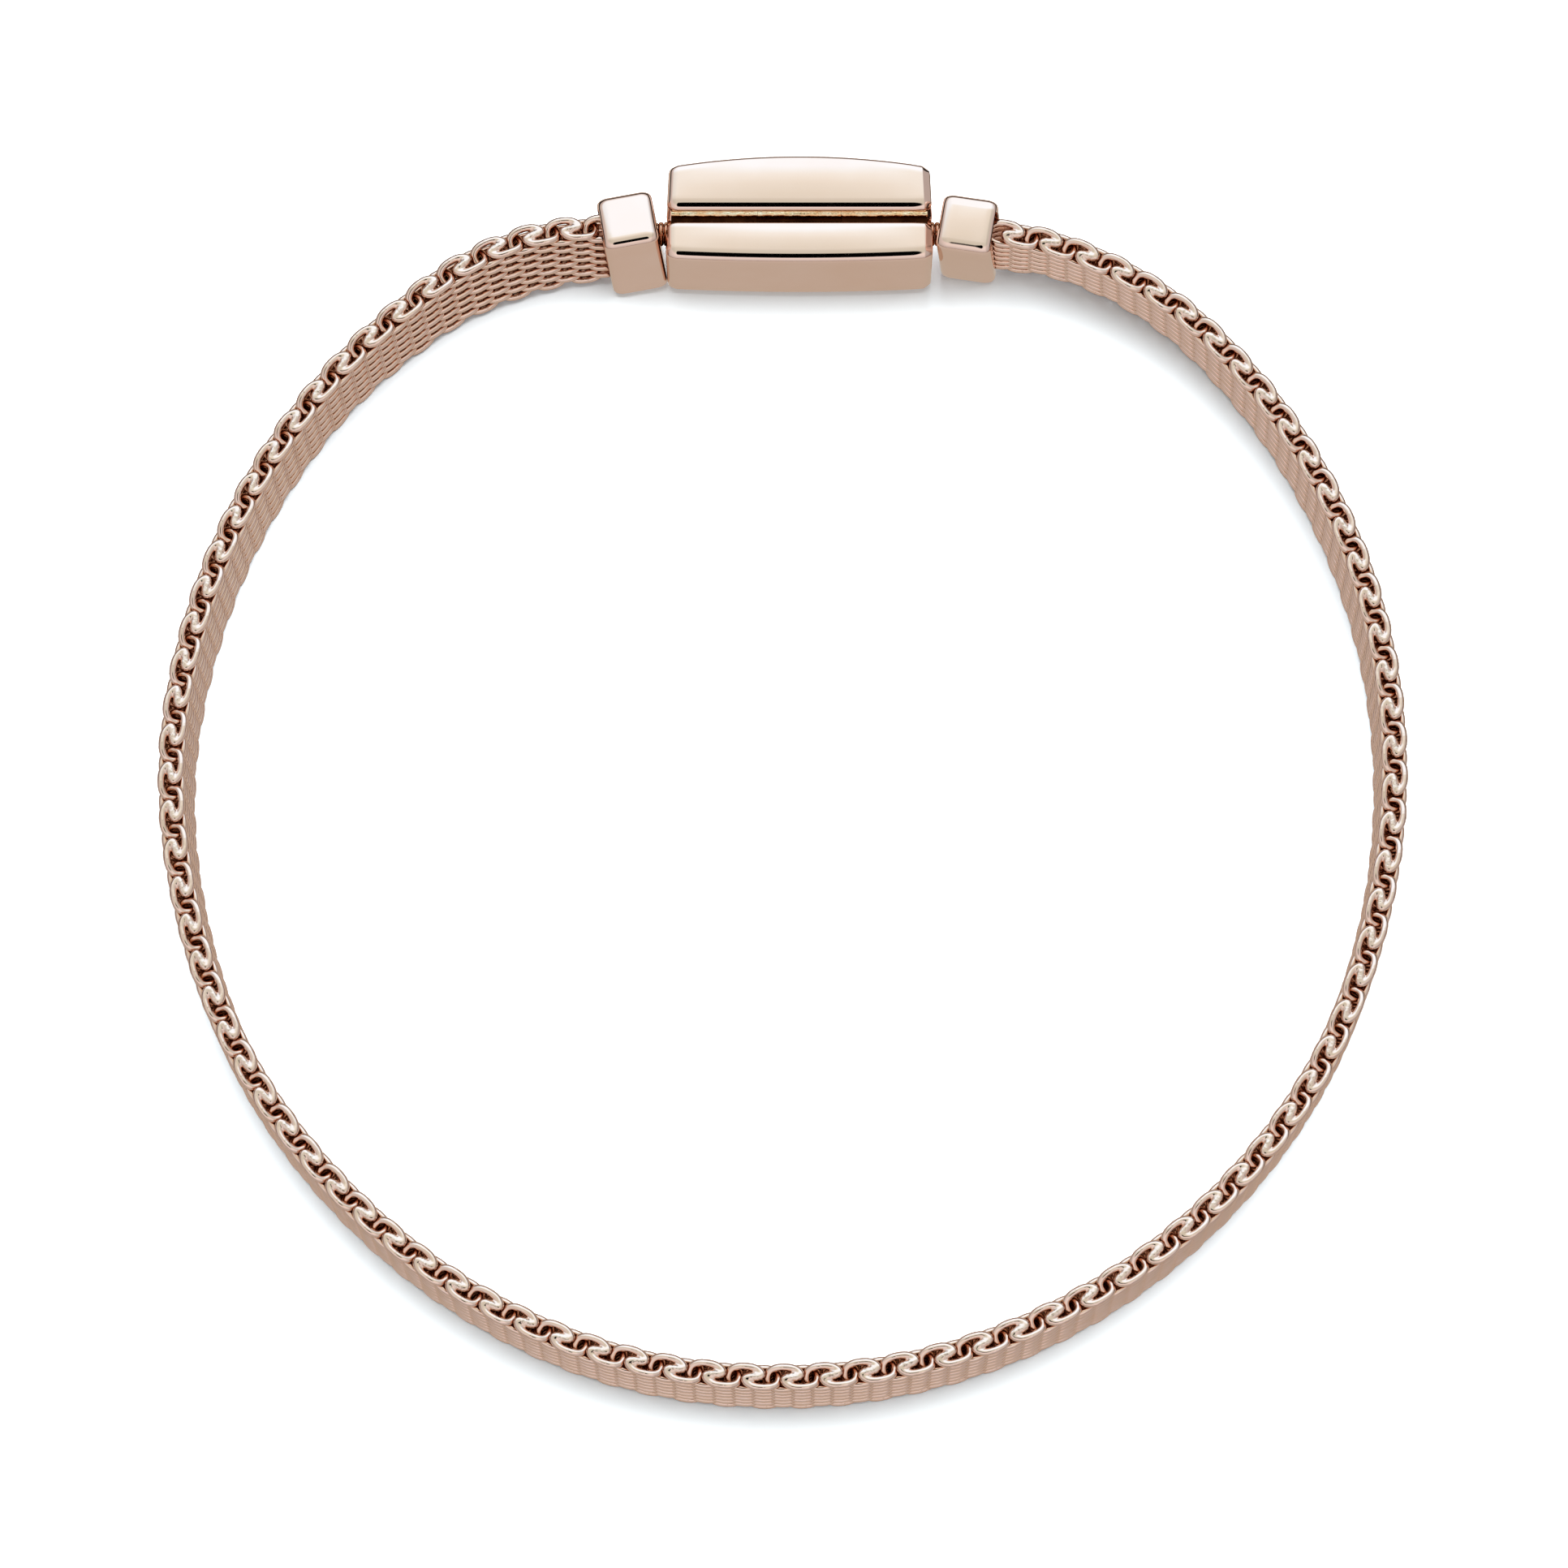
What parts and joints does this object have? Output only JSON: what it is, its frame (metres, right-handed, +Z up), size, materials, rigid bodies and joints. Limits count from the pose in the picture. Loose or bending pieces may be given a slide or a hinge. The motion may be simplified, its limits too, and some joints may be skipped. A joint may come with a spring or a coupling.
{
  "type": "mesh bracelet",
  "caption": "Woven wire mesh bracelet, a closed ring on its edge, with square end beads and a two-part rectangular clasp whose outer half hinges open.",
  "frame": {"origin": "on the surface that the ring stands on, under the middle of its bounding box", "axes": "+Z up, across the band's width; +Y from the ring's middle towards the clasp; +X to the right when the clasp is seen from inside the ring"},
  "size_m": [0.0601, 0.0614, 0.0063],
  "materials": {
    "mesh_wire": "polished rose-gold coloured wire",
    "bead_metal": "polished rose gold",
    "clasp_metal": "polished rose gold",
    "link_metal": "rose gold, in shadow"
  },
  "bodies": {
    "bracelet": {"mesh_band": "mesh_wire", "end_bead_left": "bead_metal", "end_bead_right": "bead_metal", "link_left": "link_metal", "link_right": "link_metal", "clasp_base": "clasp_metal", "hinge_pin": "link_metal"},
    "lid": {"clasp_lid": "clasp_metal"}
  },
  "joints": [
    {"name": "clasp_hinge", "type": "hinge", "parent": "bracelet", "child": "lid", "pos_m": [0.00075, 0.02782, 0.00505], "axis": [1, 0, 0], "range_deg": [0, 80]}
  ]
}
